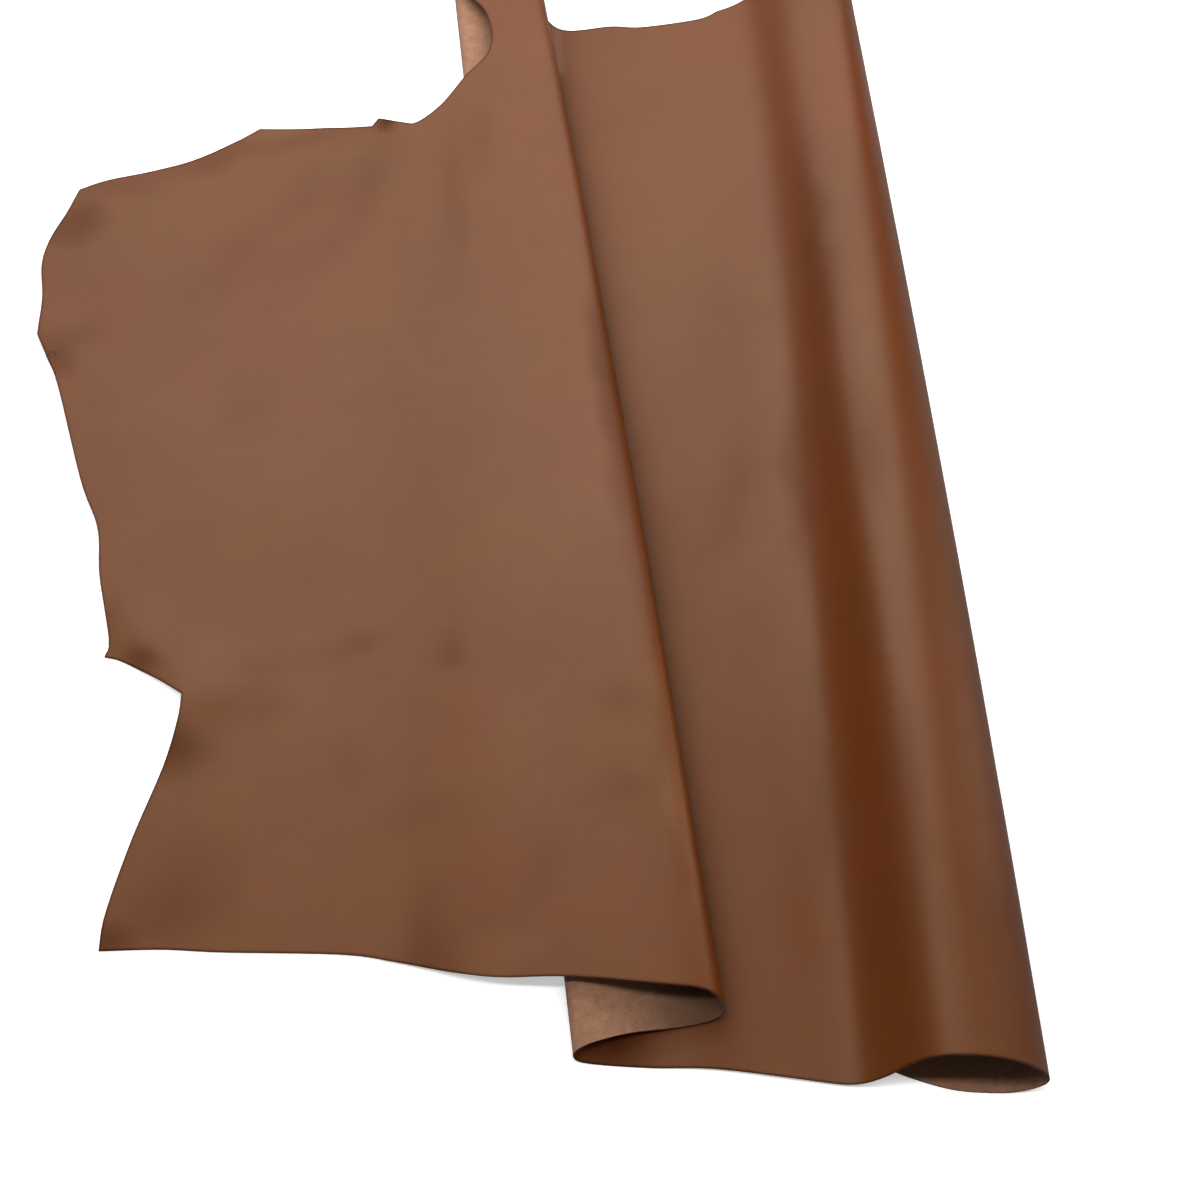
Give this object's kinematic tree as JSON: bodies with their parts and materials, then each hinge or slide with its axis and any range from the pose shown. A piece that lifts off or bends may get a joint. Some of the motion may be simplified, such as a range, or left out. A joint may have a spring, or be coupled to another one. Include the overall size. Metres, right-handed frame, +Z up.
{
  "type": "folded leather hide",
  "caption": "Side of finished leather, cut to a natural hide outline, folded back and forth and rolled under along one edge on a flat surface.",
  "frame": {"origin": "centre of the bounding box at the surface that the hide lies on", "axes": "+Y along the folds from the back edge to the belly edge, +Z up, +X across the folds towards the roll"},
  "size_m": [0.9267, 1.4122, 0.0811],
  "materials": {
    "leather": "satin brown grain, brown suede on the flesh side"
  },
  "bodies": {
    "root": {"hide": "leather"}
  },
  "joints": []
}
